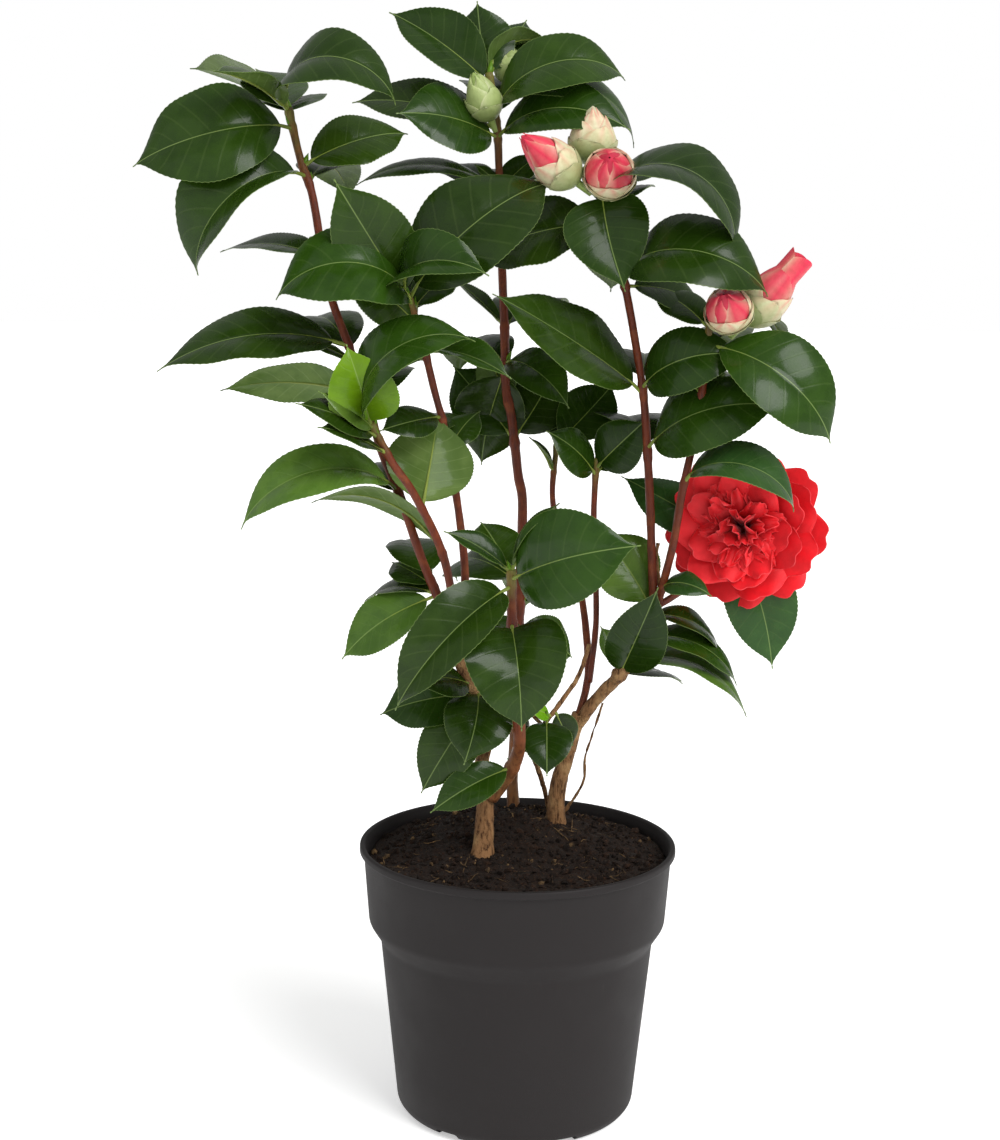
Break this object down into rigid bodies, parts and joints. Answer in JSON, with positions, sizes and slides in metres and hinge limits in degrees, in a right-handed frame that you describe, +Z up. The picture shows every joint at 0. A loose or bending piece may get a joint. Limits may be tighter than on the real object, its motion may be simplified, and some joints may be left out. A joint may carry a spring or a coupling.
{
  "type": "potted camellia shrub",
  "caption": "Young multi-stemmed camellia with glossy evergreen leaves, one open red flower and six buds, in its round charcoal plastic nursery pot.",
  "frame": {"origin": "middle of the pot's flat underside", "axes": "+Z straight up out of the pot, -Y towards the front, +X to the right seen from the front"},
  "size_m": [0.3986, 0.2197, 0.66],
  "materials": {
    "pot_plastic": "matte moulded polypropylene",
    "potting_mix": "moist peat and bark crumbs",
    "old_bark": "tan bark with fine cracks",
    "young_bark": "smooth red-brown bark",
    "leaf": "glossy waxed leaf",
    "petal": "satin petal"
  },
  "bodies": {
    "root": {"pot": "pot_plastic", "potting_soil": "potting_mix", "trunk_left": "old_bark", "limb_left": "old_bark", "leader_left": "young_bark", "stem_young": "young_bark", "stem_inner": "young_bark", "stem_front": "young_bark", "stem_back": "young_bark", "trunk_right": "old_bark", "limb_right": "old_bark", "stem_right": "young_bark", "stem_far": "young_bark", "stem_bloom": "young_bark", "stem_pair_left": "young_bark", "stem_pair_right": "young_bark", "twig_cross": "young_bark", "twig_dead": "young_bark", "bloom": "petal", "foliage_left_top": "leaf", "foliage_left_upper": "leaf", "foliage_left_middle": "leaf", "foliage_left_waist": "leaf", "foliage_left_lower": "leaf", "foliage_left_low": "leaf", "foliage_left_foot": "leaf", "foliage_young": "leaf", "foliage_young_side": "leaf", "foliage_notched": "leaf", "foliage_inner_top": "leaf", "foliage_inner_middle": "leaf", "foliage_inner_low": "leaf", "foliage_front_top": "leaf", "foliage_front_heart": "leaf", "foliage_back_top": "leaf", "foliage_back_upper": "leaf", "foliage_back_middle": "leaf", "foliage_back_waist": "leaf", "foliage_back_lower": "leaf", "foliage_back_foot": "leaf", "foliage_right_top": "leaf", "foliage_right_heart": "leaf", "foliage_right_middle": "leaf", "foliage_right_lower": "leaf", "foliage_far_top": "leaf", "foliage_far_middle": "leaf", "foliage_far_lower": "leaf", "foliage_bloom": "leaf", "foliage_pair_left": "leaf", "foliage_pair_right": "leaf", "foliage_limb_right": "leaf", "foliage_limb_right_low": "leaf", "foliage_limb_left": "leaf", "foliage_twig": "leaf"}
  },
  "joints": []
}
